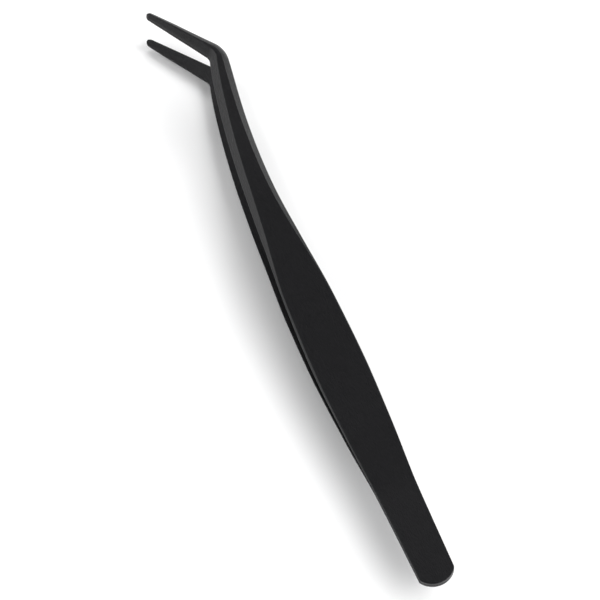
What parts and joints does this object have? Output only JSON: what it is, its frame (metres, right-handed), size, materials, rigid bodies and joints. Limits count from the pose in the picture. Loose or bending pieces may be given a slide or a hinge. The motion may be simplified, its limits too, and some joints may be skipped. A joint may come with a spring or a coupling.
{
  "type": "angled tweezers",
  "caption": "Slim black tweezers: mirror-image spring arms joined at a rounded flat tail, with a waisted handle, bevelled shanks and blunt points angled sideways.",
  "frame": {"origin": "bottom centre of the whole tool's box at rest, so the tool stands with its lower arm on the XY plane and its mid-plane level", "axes": "+X from the tail to the tips along the handle, +Y across the broad faces towards the side the points are bent to, +Z the way the arms open"},
  "size_m": [0.15, 0.0128, 0.0181],
  "materials": {
    "black_coating": "satin black coating on stainless steel",
    "weld_steel": "bare fused stainless steel"
  },
  "bodies": {
    "tail": {"upper_tang": "black_coating", "lower_tang": "black_coating", "rear_spot_weld": "weld_steel", "front_spot_weld": "weld_steel", "upper_spring": "black_coating", "lower_spring": "black_coating"},
    "upper_arm": {"upper_grip": "black_coating", "upper_waist": "black_coating", "upper_shank": "black_coating", "upper_point": "black_coating"},
    "lower_arm": {"lower_grip": "black_coating", "lower_waist": "black_coating", "lower_shank": "black_coating", "lower_point": "black_coating"}
  },
  "joints": [
    {"name": "upper_arm_squeeze", "type": "hinge", "parent": "tail", "child": "upper_arm", "pos_m": [-0.04297, 0.00008, 0.00991], "axis": [0, 1, 0], "range_deg": [0, 3.05], "stiffness_Nm_per_rad": 2.5, "deforming": ["upper_spring"]},
    {"name": "lower_arm_squeeze", "type": "hinge", "parent": "tail", "child": "lower_arm", "pos_m": [-0.04297, 0.00008, 0.00814], "axis": [0, -1, 0], "range_deg": [0, 3.05], "stiffness_Nm_per_rad": 2.5, "deforming": ["lower_spring"]}
  ],
  "couplings": [
    {"joint": "lower_arm_squeeze", "follows": "upper_arm_squeeze", "ratio": 1}
  ]
}
